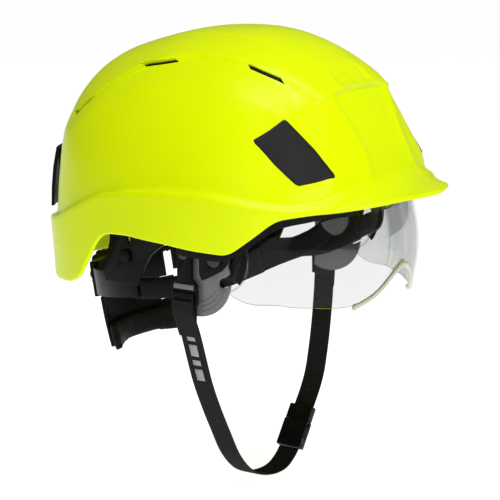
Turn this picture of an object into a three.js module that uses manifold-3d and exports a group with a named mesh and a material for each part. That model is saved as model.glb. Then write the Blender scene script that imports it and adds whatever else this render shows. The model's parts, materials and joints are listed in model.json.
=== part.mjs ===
// A vented safety helmet: moulded shell, flip-down eye shield, ratchet headband,
// textile crown cradle and a chin strap with a side-release buckle.
// Millimetres. +X points to the wearer's front, +Y to the wearer's left, +Z up.
// The origin is the middle of the wearer's head where the headband sits.
import * as THREE from "three";
import { mergeVertices } from "three/addons/utils/BufferGeometryUtils.js";
import Module from "manifold-3d";

const wasm = await Module();
wasm.setup();

// ---------------------------------------------------------------- driving sizes

const gap = 0.35; // clearance between pieces that touch
const wall = 2.8; // shell wall

const dome = {
  centreX: 7,
  frontReach: 110,
  rearReach: 139,
  halfWidth: 108,
  baseZ: 22,
  crownZ: 148.5,
  planPower: 2.35,
  sidePower: 2.5,
  frontPower: 2.05,
};
const crownLift = 3.5; // the raised crown stands this far above the dome
const creaseLift = 0.9;
const ledge = { lift: 4.5, height: 5 }; // bevelled ledge along the top of the belt

// Outlines seen from above: [degrees from the front, radius from the dome's centre].
const crownEdge = [
  [0, 72.5], [12, 73.5], [20, 76], [27, 79.5], [34, 75.5], [48, 63.5], [64, 56], [82, 53],
  [101, 55], [116, 65], [125, 76], [130, 87], [134, 99], [140, 110], [152, 117], [180, 119],
];
const riserFoot = [
  [0, 74.5], [12, 75.5], [20, 78.3], [27, 82], [33, 83.2], [36, 81.4], [45.5, 71.6], [64, 60.8],
  [81, 57], [98.5, 59.5], [109.5, 66], [125.5, 79], [131, 90], [135.5, 102], [140, 113],
  [145, 121], [160, 124], [180, 125],
];
const sideCrease = [
  [0, 76.5], [12, 77.7], [20, 80.5], [27, 84.2], [35, 86], [41, 88.5], [46.5, 92], [53, 86.5],
  [58, 83.6], [69.5, 79], [83, 76.2], [98, 78.2], [109, 84], [118, 91.6], [125, 99.3],
  [134.6, 112], [140, 120], [148, 127], [162, 130], [180, 131],
];
// Lower rim: radius and height, and the height of the belt's ledge.
const rimRadius = [
  [0, 135], [12, 130.5], [27, 120.5], [32, 119], [51, 114], [60, 111], [70, 110],
  [90, 111], [105, 113.5], [117, 118], [134, 126.5], [148, 135.5], [165, 145], [180, 149],
];
const rimHeight = [
  [0, 54.6], [12, 54.2], [27, 50], [40, 46.5], [52, 42.5], [60, 30], [67.5, 19.5],
  [80, 21.5], [90, 24], [105, 26], [114, 25], [118, 21], [124, 4], [129, -10],
  [136, -15.5], [148, -18.5], [180, -18.5],
];
const ledgeHeight = [
  [0, 60], [20, 58], [30, 54], [38, 49.5], [48, 47.2], [59, 49.8], [74, 55], [91, 55.8],
  [107, 53], [118, 49], [131, 37], [141, 27], [160, 20], [180, 17],
];

const visor = {
  pivotX: 28,
  pivotZ: 12,
  reach: 90,
  halfWidth: 82.4,
  thickness: 1.8,
  sweep: 76, // half of the lens seen from above, in degrees
};
const headband = {
  tilt: 10.5, // the band climbs towards the forehead
  riseZ: -6.3,
  centreX: -34,
  radius: 75,
  frontReach: 134,
};
// Height of the brow band's middle: it dips at the temples and climbs to the brow.
const browHeight = [
  [0, 38], [10, 37], [20, 30], [28, 19], [36, 13], [44, 10.8], [60, 1.8], [70, -4],
  [84, -3.9], [95, -2.6], [115, 0.4], [180, 0.4],
];
const strap = { x: 6, width: 15.5, thickness: 1.3, pivotZ: 14 };
const buckle = { y: 47.3, z: -139.4, lean: 36, width: 19, thickness: 6.6, length: 19.5 };

// ---------------------------------------------------------------- materials

function finish(color, roughness, metalness = 0) {
  return () => new THREE.MeshStandardMaterial({ color, roughness, metalness });
}
const hiVis = finish(0xdcee00, 0.32);
const blackPlastic = finish(0x26262a, 0.5);
const greyPlastic = finish(0x6a6a68, 0.45);
const clearPlastic = finish(0xe8ecec, 0.06);
const beigeRubber = finish(0xc9c5b6, 0.6);
const webbing = finish(0x151517, 0.85);
const foam = finish(0x2a2726, 0.9);
const steel = finish(0x9a9a9c, 0.35, 0.9);

// ---------------------------------------------------------------- general helpers

const radians = THREE.MathUtils.degToRad;
const lerp = THREE.MathUtils.lerp;
const point = (x, y, z) => new THREE.Vector3(x, y, z);

// Value of an outline at an angle, softened over a few degrees on each side.
function outlineAt(outline, degrees) {
  const straight = (angle) => {
    const a = 180 - Math.abs(180 - (Math.abs(angle) % 360));
    const next = Math.max(1, outline.findIndex(([key]) => key >= a));
    const [a0, v0] = outline[next - 1];
    const [a1, v1] = outline[next];
    return lerp(v0, v1, (a - a0) / (a1 - a0));
  };
  const softening = [-4, -2, 0, 2, 4];
  return softening.reduce((sum, step) => sum + straight(degrees + step), 0) / softening.length;
}

// A closed solid between two surfaces, each a function of (u, v) from 0 to 1.
// ring: u runs all the way round. apex: every u meets in one point at v = 1.
function slab(outer, inner, columns, rows, { ring = false, apex = false } = {}) {
  const positions = [];
  const triangles = [];
  const sheet = (surface) => {
    const first = positions.length / 3;
    for (let i = 0; i <= columns; i++) {
      for (let j = 0; j <= rows; j++) positions.push(...surface(i / columns, j / rows));
    }
    return (i, j) => {
      const column = apex && j === rows ? 0 : ring ? i % columns : i;
      return first + column * (rows + 1) + j;
    };
  };
  const triangle = (a, b, c) => {
    if (a !== b && b !== c && c !== a) triangles.push(a, b, c);
  };
  const quad = (a, b, c, d) => {
    triangle(a, b, c);
    triangle(a, c, d);
  };
  const out = sheet(outer);
  const back = sheet(inner);
  for (let i = 0; i < columns; i++) {
    for (let j = 0; j < rows; j++) {
      quad(out(i, j), out(i + 1, j), out(i + 1, j + 1), out(i, j + 1));
      quad(back(i, j), back(i, j + 1), back(i + 1, j + 1), back(i + 1, j));
    }
    quad(out(i + 1, 0), out(i, 0), back(i, 0), back(i + 1, 0));
    if (!apex) quad(out(i, rows), out(i + 1, rows), back(i + 1, rows), back(i, rows));
  }
  for (let j = 0; j < rows && !ring; j++) {
    quad(out(0, j), out(0, j + 1), back(0, j + 1), back(0, j));
    quad(out(columns, j + 1), out(columns, j), back(columns, j), back(columns, j + 1));
  }
  const geometry = new THREE.BufferGeometry();
  geometry.setAttribute("position", new THREE.Float32BufferAttribute(positions, 3));
  geometry.setIndex(triangles);
  return facingOut(geometry);
}

// Turns the faces round if they enclose a negative volume.
function facingOut(geometry) {
  const at = geometry.getAttribute("position");
  const index = geometry.index.array;
  const [a, b, c] = [point(), point(), point()];
  let volume = 0;
  for (let i = 0; i < index.length; i += 3) {
    a.fromBufferAttribute(at, index[i]);
    b.fromBufferAttribute(at, index[i + 1]);
    c.fromBufferAttribute(at, index[i + 2]);
    volume += a.dot(b.cross(c));
  }
  if (volume < 0) geometry.setIndex([...index].reverse());
  return geometry;
}

function solidOf(geometry) {
  const flat = geometry.index ? geometry.toNonIndexed() : geometry;
  const bare = new THREE.BufferGeometry();
  bare.setAttribute("position", flat.getAttribute("position"));
  const merged = mergeVertices(bare, 1e-3);
  const corners = [];
  for (let i = 0; i < merged.index.count; i += 3) {
    const [a, b, c] = [0, 1, 2].map((k) => merged.index.getX(i + k));
    if (a !== b && b !== c && c !== a) corners.push(a, b, c);
  }
  return new wasm.Manifold(
    new wasm.Mesh({
      numProp: 3,
      vertProperties: new Float32Array(merged.getAttribute("position").array),
      triVerts: new Uint32Array(corners),
    }),
  );
}

function geometryOf(solid) {
  const mesh = solid.getMesh();
  const geometry = new THREE.BufferGeometry();
  geometry.setAttribute("position", new THREE.BufferAttribute(mesh.vertProperties, 3));
  geometry.setIndex(new THREE.BufferAttribute(mesh.triVerts, 1));
  return geometry;
}

function join(...geometries) {
  return geometryOf(geometries.map(solidOf).reduce((sum, next) => sum.add(next)));
}

function cut(geometry, ...cutters) {
  const tools = cutters.map(solidOf);
  return geometryOf(tools.reduce((rest, tool) => rest.subtract(tool), solidOf(geometry)));
}

// A box between two corners; a pair of limits may come in either order.
function box(x0, x1, y0, y1, z0, z1) {
  const geometry = new THREE.BoxGeometry(Math.abs(x1 - x0), Math.abs(y1 - y0), Math.abs(z1 - z0));
  return geometry.translate((x0 + x1) / 2, (y0 + y1) / 2, (z0 + z1) / 2);
}

// A cylinder along Y from y0 to y1, centred on (x, z).
function crossBar(x, z, radius, y0, y1, sides = 16) {
  const geometry = new THREE.CylinderGeometry(radius, radius, Math.abs(y1 - y0), sides);
  return geometry.translate(x, (y0 + y1) / 2, z);
}

// A flat outline of [x, z] points made y1 - y0 thick.
function sidePlate(outline, y0, y1, holes = []) {
  const shape = new THREE.Shape(outline.map(([x, z]) => new THREE.Vector2(x, z)));
  shape.holes = holes.map((hole) => new THREE.Path(hole.map(([x, z]) => new THREE.Vector2(x, z))));
  const depth = Math.abs(y1 - y0);
  const geometry = new THREE.ExtrudeGeometry(shape, { depth, bevelEnabled: false });
  return geometry.rotateX(Math.PI / 2).translate(0, Math.max(y0, y1), 0);
}

// Points of a rounded rectangle centred on (x, z).
function roundedOutline(x, z, width, height, radius, steps = 4) {
  const corners = [[1, 1, 0], [-1, 1, 90], [-1, -1, 180], [1, -1, 270]];
  return corners.flatMap(([sx, sz, from]) =>
    Array.from({ length: steps + 1 }, (_, k) => {
      const angle = radians(from + (90 * k) / steps);
      return [
        x + sx * (width / 2 - radius) + radius * Math.cos(angle),
        z + sz * (height / 2 - radius) + radius * Math.sin(angle),
      ];
    }),
  );
}

function circleOutline(x, z, radius, sides) {
  return Array.from({ length: sides }, (_, k) => {
    const angle = (2 * Math.PI * k) / sides;
    return [x + radius * Math.cos(angle), z + radius * Math.sin(angle)];
  });
}

// A curved strip round (x, z) between two radii and two angles.
function arcBand(x, z, inner, outer, from, to, steps = 10) {
  const arc = (radius, start, end) =>
    Array.from({ length: steps + 1 }, (_, k) => {
      const angle = radians(lerp(start, end, k / steps));
      return [x + radius * Math.cos(angle), z + radius * Math.sin(angle)];
    });
  return [...arc(inner, to, from), ...arc(outer, from, to)];
}

const root = new THREE.Group();

function add(name, geometry, material, parent = root) {
  const mesh = new THREE.Mesh(geometry, material());
  mesh.name = name;
  parent.add(mesh);
  return mesh;
}

// Makes a piece for each side: side is +1 for the wearer's left and -1 for the right.
function bothSides(make) {
  for (const [label, side] of [["left", 1], ["right", -1]]) make(label, side);
}

// ---------------------------------------------------------------- shell surface

const sideways = (degrees) => [Math.cos(radians(degrees)), Math.sin(radians(degrees))];

function planRadius(cos, sin) {
  const reach = cos < 0 ? dome.rearReach : dome.frontReach;
  const power = dome.planPower;
  return (Math.abs(cos / reach) ** power + Math.abs(sin / dome.halfWidth) ** power) ** (-1 / power);
}

// Roundness of the dome's profile: fuller at the sides and rear than in front.
function profilePower(cos) {
  const front = THREE.MathUtils.smoothstep(cos, -1, 1);
  return lerp(dome.sidePower, dome.frontPower, front);
}

function domeGauge(x, y, z) {
  const dx = x - dome.centreX;
  const distance = Math.hypot(dx, y) || 1e-9;
  const power = profilePower(dx / distance);
  const across = distance / planRadius(dx / distance, y / distance);
  const up = Math.max(0, (z - dome.baseZ) / (dome.crownZ - dome.baseZ));
  return across ** power + up ** power;
}

function liftOff(p, lift) {
  const step = 0.01;
  const slope = point(
    domeGauge(p.x + step, p.y, p.z) - domeGauge(p.x - step, p.y, p.z),
    domeGauge(p.x, p.y + step, p.z) - domeGauge(p.x, p.y - step, p.z),
    domeGauge(p.x, p.y, p.z + step) - domeGauge(p.x, p.y, p.z - step),
  );
  return p.addScaledVector(slope.normalize(), lift);
}

// A point of the dome given as a share (0 crown to 1 base) of its plan radius.
function domePoint(degrees, share, lift) {
  const [cos, sin] = sideways(degrees);
  const radius = planRadius(cos, sin) * share;
  const power = profilePower(cos);
  const rise = Math.max(0, 1 - share ** power) ** (1 / power);
  const z = dome.baseZ + (dome.crownZ - dome.baseZ) * rise;
  return liftOff(point(dome.centreX + radius * cos, radius * sin, z), lift);
}

function shareAtHeight(degrees, z) {
  const power = profilePower(sideways(degrees)[0]);
  const rise = Math.max(0, (z - dome.baseZ) / (dome.crownZ - dome.baseZ));
  return (1 - rise ** power) ** (1 / power);
}

// A point of the dome's wall at a height; below the dome's base it goes straight down.
function wallPoint(degrees, z, lift) {
  const p = domePoint(degrees, shareAtHeight(degrees, z), lift);
  if (z < dome.baseZ) p.z += z - dome.baseZ;
  return p;
}

function shareOf(outline, degrees) {
  const [cos, sin] = sideways(degrees);
  return outlineAt(outline, degrees) / planRadius(cos, sin);
}

// Spreads rows evenly along the curved wall rather than along its plan radius.
function shareBetween(degrees, from, to, t) {
  const power = profilePower(sideways(degrees)[0]);
  const turn = (share) => Math.acos(Math.min(1, share) ** (power / 2));
  return Math.cos(lerp(turn(from), turn(to), t)) ** (2 / power);
}

// How far the peak has taken over from the belt: 1 in front, 0 at the sides.
const peakness = (degrees) => 1 - THREE.MathUtils.smoothstep(Math.abs(degrees), 25, 50);

function rimPoint(degrees, inset) {
  const peak = peakness(degrees);
  const radius = outlineAt(rimRadius, degrees) - inset * (1 - peak);
  const [cos, sin] = sideways(degrees);
  return point(
    dome.centreX + radius * cos,
    radius * sin,
    outlineAt(rimHeight, degrees) - inset * peak,
  );
}

// The front is a flat panel between two faint upright ridges.
function panelLift(degrees) {
  const { smoothstep } = THREE.MathUtils;
  const away = Math.abs(degrees);
  const ridge = 20;
  const ridgeLift = 1.1 * smoothstep(away, 4, ridge) * (1 - smoothstep(away, ridge, ridge + 16));
  const hollow = 0.5 * (1 - smoothstep(away, 0, ridge));
  return ridgeLift - hollow;
}

const shellRows = 14;

// Rows from the rim up: rim, ledge, wall, crease, riser foot, crown edge, crown.
function shellPoint(degrees, row, inset) {
  const ledgeZ = outlineAt(ledgeHeight, degrees);
  const crease = shareOf(sideCrease, degrees);
  const foot = shareOf(riserFoot, degrees);
  const edge = shareOf(crownEdge, degrees);
  const ledgeTop = shareAtHeight(degrees, ledgeZ + ledge.height);
  const sides = 1 - THREE.MathUtils.smoothstep(Math.abs(Math.abs(degrees) - 85), 50, 80);
  const raised = lerp(0.9, crownLift, sides);
  if (row === 0) return rimPoint(degrees, inset);
  if (row === 1) return wallPoint(degrees, ledgeZ, ledge.lift - inset);
  if (row <= 5) {
    const t = (row - 2) / 4;
    return domePoint(degrees, shareBetween(degrees, ledgeTop, crease, t), panelLift(degrees) - inset);
  }
  if (row === 6) return domePoint(degrees, crease, creaseLift - inset);
  if (row === 7) return domePoint(degrees, shareBetween(degrees, crease, foot, 0.5), -inset);
  if (row === 8) return domePoint(degrees, foot, -inset);
  const t = (row - 9) / (shellRows - 9);
  return domePoint(degrees, shareBetween(degrees, edge, 0, t), lerp(raised, crownLift, t) - inset);
}

// A patch of the wall between two lifts, its corners given as [degrees, height].
function wallPatch([lowA, lowB, highB, highA], low, high, columns, rows) {
  const at = (lift) => (u, v) => {
    const degrees = lerp(lerp(lowA[0], lowB[0], u), lerp(highA[0], highB[0], u), v);
    const z = lerp(lerp(lowA[1], lowB[1], u), lerp(highA[1], highB[1], u), v);
    return wallPoint(degrees, z, lift);
  };
  return slab(at(high), at(low), columns, rows);
}

// ---------------------------------------------------------------- shell and its fittings

const badgeCorners = (side, grow = 0) => [
  [side * (44.6 + grow), 63.4 - grow],
  [side * (31 - grow), 67 - grow],
  [side * (47 - grow * 1.2), 102.6 + grow],
  [side * (59.6 + grow), 90.2 + grow],
];

// Vents sit along the foot of the riser: [from, to] in degrees.
const vents = [[45.5, 63.5], [109.5, 125.5], [138.5, 145]];

function ventCutter(side, from, to) {
  const halfHeight = 1.6;
  const planPoint = (degrees) => {
    const [cos, sin] = sideways(degrees);
    const radius = outlineAt(riserFoot, degrees);
    return new THREE.Vector2(radius * cos, radius * sin);
  };
  const at = (lift) => (u, v) => {
    const degrees = lerp(from, to, u);
    const along = planPoint(degrees + 0.5).sub(planPoint(degrees - 0.5)).normalize();
    const across = lerp(-halfHeight, halfHeight, v);
    const p = planPoint(degrees).add(new THREE.Vector2(along.y, -along.x).multiplyScalar(across));
    const angle = THREE.MathUtils.radToDeg(Math.atan2(p.y, p.x));
    const [cos, sin] = sideways(angle);
    return domePoint(side * angle, p.length() / planRadius(cos, sin), lift);
  };
  return slab(at(5), at(-6), 5, 1);
}

function shell() {
  const columns = 60;
  const rowsOf = (inset) => (u, v) => {
    const degrees = -180 + 360 * u;
    return shellPoint(degrees, Math.round(v * shellRows), inset);
  };
  const cutters = [];
  for (const side of [1, -1]) {
    for (const [from, to] of vents) cutters.push(ventCutter(side, from, to));
    cutters.push(wallPatch(badgeCorners(side, 0.4), -1, 6, 3, 3));
  }
  const moulding = slab(rowsOf(0), rowsOf(wall), columns, shellRows, { ring: true, apex: true });
  return cut(moulding, ...cutters);
}

const rearClip = { angle: 162, halfSpan: 6, topZ: 66, bottomZ: 27, standOff: 2.7 };
const rearClipBase = [0.4, rearClip.standOff - 1.4]; // lifts of the riveted base's two faces

function rearClipPatch(side, z0, z1, low, high) {
  const from = side * (rearClip.angle - rearClip.halfSpan);
  const to = side * (rearClip.angle + rearClip.halfSpan);
  return wallPatch([[from, z0], [to, z0], [to, z1], [from, z1]], low, high, 4, 3);
}

function rearClipBasePlate(side) {
  return rearClipPatch(side, rearClip.topZ - 11, rearClip.topZ, ...rearClipBase);
}

function rearClipPlate(side) {
  const { standOff, bottomZ, topZ } = rearClip;
  const leaf = rearClipPatch(side, bottomZ, topZ, standOff, standOff + 1.8);
  const foot = rearClipPatch(side, topZ - 7, topZ, standOff - 1.1, standOff + 1);
  return join(leaf, foot);
}

// The frame inside the rim that carries the eye shield's pivots.
function rimFrame() {
  const thickness = 2;
  const at = (inset) => (u, v) => {
    const degrees = lerp(-86, 86, u);
    const radius = Math.min(outlineAt(rimRadius, degrees) - 3.3, 113) - inset;
    const [cos, sin] = sideways(degrees);
    const drop = lerp(1.5, 5, THREE.MathUtils.smoothstep(Math.abs(degrees), 13, 20));
    const z = outlineAt(rimHeight, degrees) + lerp(-drop, 3, v);
    return point(dome.centreX + radius * cos, radius * sin, z);
  };
  let frame = slab(at(0), at(thickness), 48, 1);
  for (const side of [1, -1]) {
    frame = cut(join(frame, ...pivotMount(side)), pivotBore(side, 80, 86));
  }
  return frame;
}

const pivotBore = (side, y0, y1) => crossBar(visor.pivotX, visor.pivotZ, 3.3, side * y0, side * y1);

// The ear that holds the eye shield's pin, and the curved guard in front of it.
function pivotMount(side) {
  const { pivotX, pivotZ } = visor;
  const [inner, outer] = [side * 82.6, side * 84];
  const bridgeTop = 22.5;
  const earOutline = [
    [17, bridgeTop], [16, 12], [16, 1], [18, -3], [24, 0], [33, 5], [37.5, 10], [39.5, 16], [40, bridgeTop],
  ];
  const ear = sidePlate(earOutline, inner, outer);
  const bridge = box(pivotX - 7.5, pivotX + 7.5, inner, side * 103, 20, bridgeTop);
  const guard = sidePlate(arcBand(pivotX, pivotZ, 19.2, 23.4, -38, 30), inner, outer);
  const guardBridge = box(pivotX + 7, pivotX + 22.2, inner, side * 97.2, 20, bridgeTop);
  return [ear, bridge, guard, guardBridge];
}

// ---------------------------------------------------------------- eye shield

// Lower edge of the lens: [degrees round from the middle, degrees below the pivot].
const lensLowerEdge = [
  [0, 2], [8, 6.5], [16, 14.5], [28, 22.5], [45, 27.5], [60, 37], [76, 74], [180, 74],
];
const lensUpperEdge = [[0, 24], [40, 27], [60, 36], [76, 50], [180, 50]];

function lensPoint(round, climb, inset) {
  const [cos, sin] = sideways(round);
  const reach = (visor.reach - inset) * cos;
  const [ahead, up] = sideways(climb);
  const y = (visor.halfWidth - inset) * sin;
  return point(visor.pivotX + reach * ahead, y, visor.pivotZ + reach * up);
}

const lensLow = (round) => -outlineAt(lensLowerEdge, round);
const lensHigh = (round) => outlineAt(lensUpperEdge, round);

function visorLens() {
  const at = (inset) => (u, v) => {
    const round = lerp(-visor.sweep, visor.sweep, u);
    return lensPoint(round, lerp(lensLow(round), lensHigh(round), v), inset);
  };
  let lens = slab(at(0), at(visor.thickness), 32, 6);
  for (const side of [1, -1]) {
    const hub = crossBar(visor.pivotX, visor.pivotZ, 23, side * 78.6, side * 80.1, 28);
    lens = join(lens, hub);
    lens = cut(lens, pivotBore(side, 77, 84));
  }
  return lens;
}

// A soft edging clipped over the lens's nose cut-out.
function noseTrim() {
  const halfSpan = 27;
  const at = (inset) => (u, v) => {
    const round = lerp(-halfSpan, halfSpan, u);
    return lensPoint(round, lensLow(round) - lerp(0.7, 2.9, v), inset);
  };
  return slab(at(-0.6), at(visor.thickness + 0.6), 28, 1);
}

// The grey side plate: a disc cut off straight at the back, slotted in front of the pivot.
const templeDisc = { x: 13.5, z: -2, radius: 25 };

function templePlate(side) {
  const { pivotX, pivotZ } = visor;
  const [inner, outer] = [side * 80.5, side * 82.2];
  const slot = { radius: 16, halfWidth: 3, from: -74, to: 12 };
  const [slotX, slotZ] = sideways(slot.from).map((share) => share * slot.radius);
  const disc = crossBar(templeDisc.x, templeDisc.z, templeDisc.radius, inner, outer, 44);
  const hub = crossBar(pivotX, pivotZ, 9, inner, outer, 24);
  const channel = sidePlate(
    arcBand(pivotX, pivotZ, slot.radius - slot.halfWidth, slot.radius + slot.halfWidth, slot.from, slot.to),
    side * 80,
    side * 83,
  );
  const slotEnd = crossBar(pivotX + slotX, pivotZ + slotZ, slot.halfWidth, side * 80, side * 83);
  const flatBack = box(-20, 2, side * 80, side * 83, -40, 40);
  return cut(join(disc, hub), channel, slotEnd, flatBack, pivotBore(side, 80, 83));
}

function visorPin(side) {
  const shaft = crossBar(visor.pivotX, visor.pivotZ, 2.9, side * 78.7, side * 84.8);
  const head = crossBar(visor.pivotX, visor.pivotZ, 5, side * 84.35, side * 85.9, 20);
  return join(shaft, head);
}

// ---------------------------------------------------------------- headband

// A point of the band: degrees round from the front, offset outwards, and height.
function bandPoint(degrees, offset, z) {
  const [cos, sin] = sideways(degrees);
  const reach = cos > 0 ? headband.frontReach : headband.radius;
  const outwards = new THREE.Vector2(cos / reach, sin / headband.radius).normalize();
  return point(
    headband.centreX + reach * cos + offset * outwards.x,
    headband.radius * sin + offset * outwards.y,
    z,
  );
}

// A length of band; bottom and top are heights or functions of the share along it.
function band(from, to, low, high, bottom, top, columns, rows = 1) {
  const value = (limit, u) => (typeof limit === "function" ? limit(u) : limit);
  const at = (offset) => (u, v) =>
    bandPoint(lerp(from, to, u), offset, lerp(value(bottom, u), value(top, u), v));
  return slab(at(high), at(low), columns, rows);
}

const browRise = (degrees) => outlineAt(browHeight, degrees);

// A length of brow band that follows its rise and fall.
function browStrip(from, to, low, high, halfHeight, columns) {
  const edge = (sign) => (u) => browRise(lerp(from, to, u)) + sign * halfHeight;
  return band(from, to, low, high, edge(-1), edge(1), columns);
}

const browBand = () => browStrip(-115, 115, 0, 1.5, 7, 60);
const browPad = () => browStrip(-50, 50, -4.2, -gap, 6.8, 30);

// One side arm: a broad strip, then a narrow rack that runs into the ratchet.
const rack = { start: 144, tip: 186, inner: 4.6, outer: 8.9, tooth: 0.8 };
const armOffset = { low: 1.85, high: 3.1 };

function sideArm(side) {
  const { low, high } = armOffset;
  const strip = band(side * 93, side * (rack.start + 1), low, high, -8.6, 8.9, 12);
  const teeth = 30;
  const toothed = (u) => rack.inner + (Math.round(u * teeth) % 2 ? rack.tooth : 0);
  const upper = [toothed, rack.outer];
  const lower = [-rack.outer, (u) => -toothed(u)];
  const [bottom, top] = side > 0 ? upper : lower;
  const tongue = band(side * rack.start, side * rack.tip, low, high, bottom, top, teeth);
  return join(strip, tongue);
}

const ratchet = { from: 150, to: 210, halfHeight: 12 };
const rearX = headband.centreX - headband.radius; // the back of the band

const ratchetBack = () =>
  band(ratchet.from, ratchet.to, -0.2, 1.5, -ratchet.halfHeight, ratchet.halfHeight, 12);

function ratchetCover() {
  const { from, to, halfHeight } = ratchet;
  const body = band(from, to, 1.85, 6, -halfHeight, halfHeight, 12);
  const channel = band(from - 2, to + 2, 1, 4, -9.4, 9.4, 12);
  return cut(body, channel, knobAxle(2.9, 12, 4));
}

// A cylinder on the knob's axis, centred a distance behind the band.
function knobAxle(radius, length, behind, z = 0) {
  const axle = new THREE.CylinderGeometry(radius, radius, length, 16);
  return axle.rotateZ(Math.PI / 2).translate(rearX - behind, 0, z);
}

function ratchetPinion() {
  const gear = new THREE.Shape(
    Array.from({ length: 20 }, (_, k) => {
      const radius = k % 2 ? 3.3 : 4.1;
      const [cos, sin] = sideways(k * 18);
      return new THREE.Vector2(radius * cos, radius * sin);
    }),
  );
  const wheel = new THREE.ExtrudeGeometry(gear, { depth: 1.5, bevelEnabled: false });
  wheel.rotateY(-Math.PI / 2).translate(rearX - 2, 0, 0);
  return join(wheel, knobAxle(2.4, 4, 4.2));
}

const knob = { radius: 15.5, lobes: 14, depth: 11 };

function ratchetKnob() {
  const shape = new THREE.Shape(
    Array.from({ length: knob.lobes * 3 }, (_, k) => {
      const radius = knob.radius - (k % 3 === 0 ? 1.1 : 0);
      const [cos, sin] = sideways((k * 360) / (knob.lobes * 3));
      return new THREE.Vector2(radius * cos, radius * sin);
    }),
  );
  const bevel = { bevelThickness: 1.2, bevelSize: 1.2, bevelOffset: -1.2, bevelSegments: 1 };
  const geometry = new THREE.ExtrudeGeometry(shape, { depth: knob.depth - 2.4, ...bevel });
  return geometry.rotateY(-Math.PI / 2).translate(rearX - 6.4 - bevel.bevelThickness, 0, 0);
}

// The nape plate leaves the ratchet and curves in under the back of the head.
const nape = { top: -12.4, bottom: -48, lean: 1.5 };
const napeOffset = (v) => -0.2 - nape.lean * v * v;

function napePlate() {
  const halfSpan = (v) => lerp(34, 30, v);
  const at = (offset) => (u, v) => {
    const degrees = lerp(180 - halfSpan(v), 180 + halfSpan(v), u);
    return bandPoint(degrees, napeOffset(v) + offset, lerp(nape.top, nape.bottom, v));
  };
  const windowAt = (middle) => {
    const across = (offset) => (u, v) =>
      bandPoint(lerp(middle - 2.6, middle + 2.6, u), napeOffset(0.3) + offset, lerp(-19, -28, v));
    return slab(across(5), across(-3), 2, 1);
  };
  return cut(slab(at(2), at(0), 12, 5), windowAt(180 - 27), windowAt(180 + 27));
}

function napePad() {
  const at = (offset) => (u, v) => {
    const down = lerp(0.5, 1.06, v);
    return bandPoint(lerp(142, 218, u), napeOffset(down) + offset, lerp(nape.top, nape.bottom, down));
  };
  return slab(at(-gap), at(-8), 12, 4);
}

function padStud() {
  const down = 0.9;
  return knobAxle(4.3, 1.8, napeOffset(down) + 2 + gap + 1.1, lerp(nape.top, nape.bottom, down));
}

// The clip that joins a front cradle strap to the brow band.
function frontHanger(side) {
  const [from, to] = [51, 63];
  const bottom = (u) => browRise(lerp(from, to, u)) - 7.4;
  return band(side * from, side * to, 1.85, 3.4, bottom, 38, 5);
}

// ---------------------------------------------------------------- rear brackets and strap anchors

// A Y-shaped plate that hangs the rear of the headband from the shell.
function rearBracket(side) {
  const outline = [
    [-7, 26], [-31.5, 27], [-38, 15], [-41, 27], [-53, 27], [-53, 15], [-55.5, 6], [-58.5, -4],
    [-57, -11.5], [-31, -12], [-28.5, -6.5], [-25, 2], [-20.5, 9], [-14, 14.5], [-7, 19],
  ];
  const bore = circleOutline(-40, 7, 2.6, 14);
  const plate = sidePlate(outline, side * 84, side * 86, [bore]);
  const boss = (x0, x1, reach) => box(x0, x1, side * 84, side * reach, 23, 31);
  return join(plate, boss(-24, -12, 103.5), boss(-52, -43, 99.5));
}

function bracketRivet(side) {
  const shaft = crossBar(-40, 7, 2.2, side * 83, side * 86.8, 14);
  const head = crossBar(-40, 7, 4.2, side * 86.4, side * 87.8, 18);
  return join(shaft, head);
}

// The block under the rim that holds the pin of a strap anchor.
function sideHanger(side) {
  const ear = sidePlate(roundedOutline(strap.x, 19, 9.6, 20, 4.5), side * 82.6, side * 83.9, [
    circleOutline(strap.x, strap.pivotZ, 2.6, 14),
  ]);
  return join(ear, box(strap.x - 7, strap.x + 7, side * 82.6, side * 105.6, 24, 30));
}

function strapAnchor(side) {
  const outline = [
    ...circleOutline(strap.x, strap.pivotZ, 5.6, 24).filter(([, z]) => z > strap.pivotZ - 0.1),
    [strap.x - 5.6, -3], [strap.x - 9.8, -6.5], [strap.x - 9.8, -18.6], [strap.x - 8.2, -20.2],
    [strap.x + 8.2, -20.2], [strap.x + 9.8, -18.6], [strap.x + 9.8, -6.5], [strap.x + 5.6, -3],
  ];
  const slot = roundedOutline(strap.x, -12.8, 16.8, 6.6, 1, 1);
  const bore = circleOutline(strap.x, strap.pivotZ, 2.6, 14);
  return sidePlate(outline, side * 84.25, side * 86.2, [slot, bore]);
}

function anchorPin(side) {
  const shaft = crossBar(strap.x, strap.pivotZ, 2.2, side * 82.7, side * 87, 14);
  const head = crossBar(strap.x, strap.pivotZ, 4, side * 86.55, side * 87.9, 18);
  return join(shaft, head);
}

// ---------------------------------------------------------------- crown cradle

// Height of a cradle strap against its distance from the middle of the head.
function cradlePath(degrees, hangerRadius, hangerZ) {
  const [cos, sin] = sideways(degrees);
  const share = hangerRadius / 73.5;
  const profile = [[19, 101], [38, 96], [54, 85], [66, 66], [71, 45], [73.5, hangerZ]];
  const points = profile.map(([r, z]) => point(r * share * cos, r * share * sin, z));
  return new THREE.CatmullRomCurve3(points);
}

function cradleStrap(degrees, hangerRadius, hangerZ) {
  const path = cradlePath(degrees, hangerRadius, hangerZ);
  const [cos, sin] = sideways(degrees);
  const across = point(-sin, cos, 0);
  const at = (lift) => (u, v) => {
    const outwards = path.getTangentAt(u).cross(across).negate();
    const side = lerp(-strap.width / 2, strap.width / 2, v);
    return path.getPointAt(u).addScaledVector(across, side).addScaledVector(outwards, lift);
  };
  return slab(at(0.6), at(-0.6), 10, 1);
}

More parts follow.
